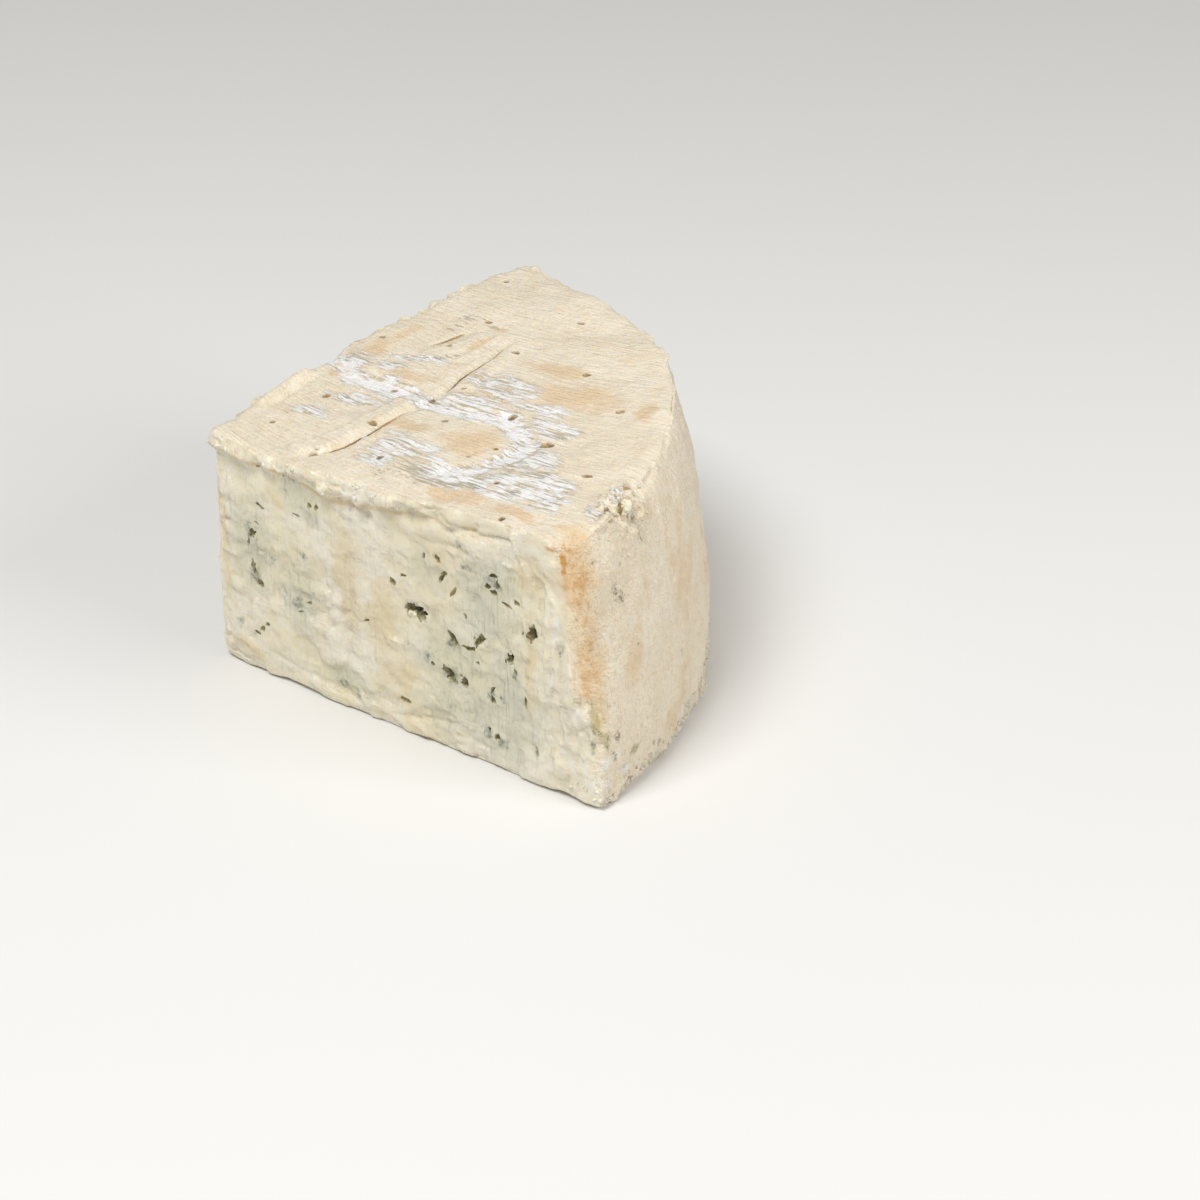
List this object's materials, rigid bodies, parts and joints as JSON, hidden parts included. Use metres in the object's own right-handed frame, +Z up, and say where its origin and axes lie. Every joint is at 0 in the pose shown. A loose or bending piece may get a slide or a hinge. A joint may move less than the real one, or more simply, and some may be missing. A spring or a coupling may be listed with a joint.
{
  "type": "cheese wedge",
  "caption": "Quarter wedge of a blue-veined soft cheese: two cut faces meet at a pointed tip, with a curved rind and a pierced top, resting flat.",
  "frame": {"origin": "centre of the wedge's box, at the height of its flat base", "axes": "+Z up, +X from the pointed tip to the middle of the curved rind, +Y along the chord of the rind, away from the cut face that the picture shows"},
  "size_m": [0.156, 0.215, 0.086],
  "materials": {
    "cheese": "soft, slightly moist cream paste with blue-green mould, and a dry beige rind"
  },
  "bodies": {
    "root": {"cheese_wedge": "cheese"}
  },
  "joints": []
}
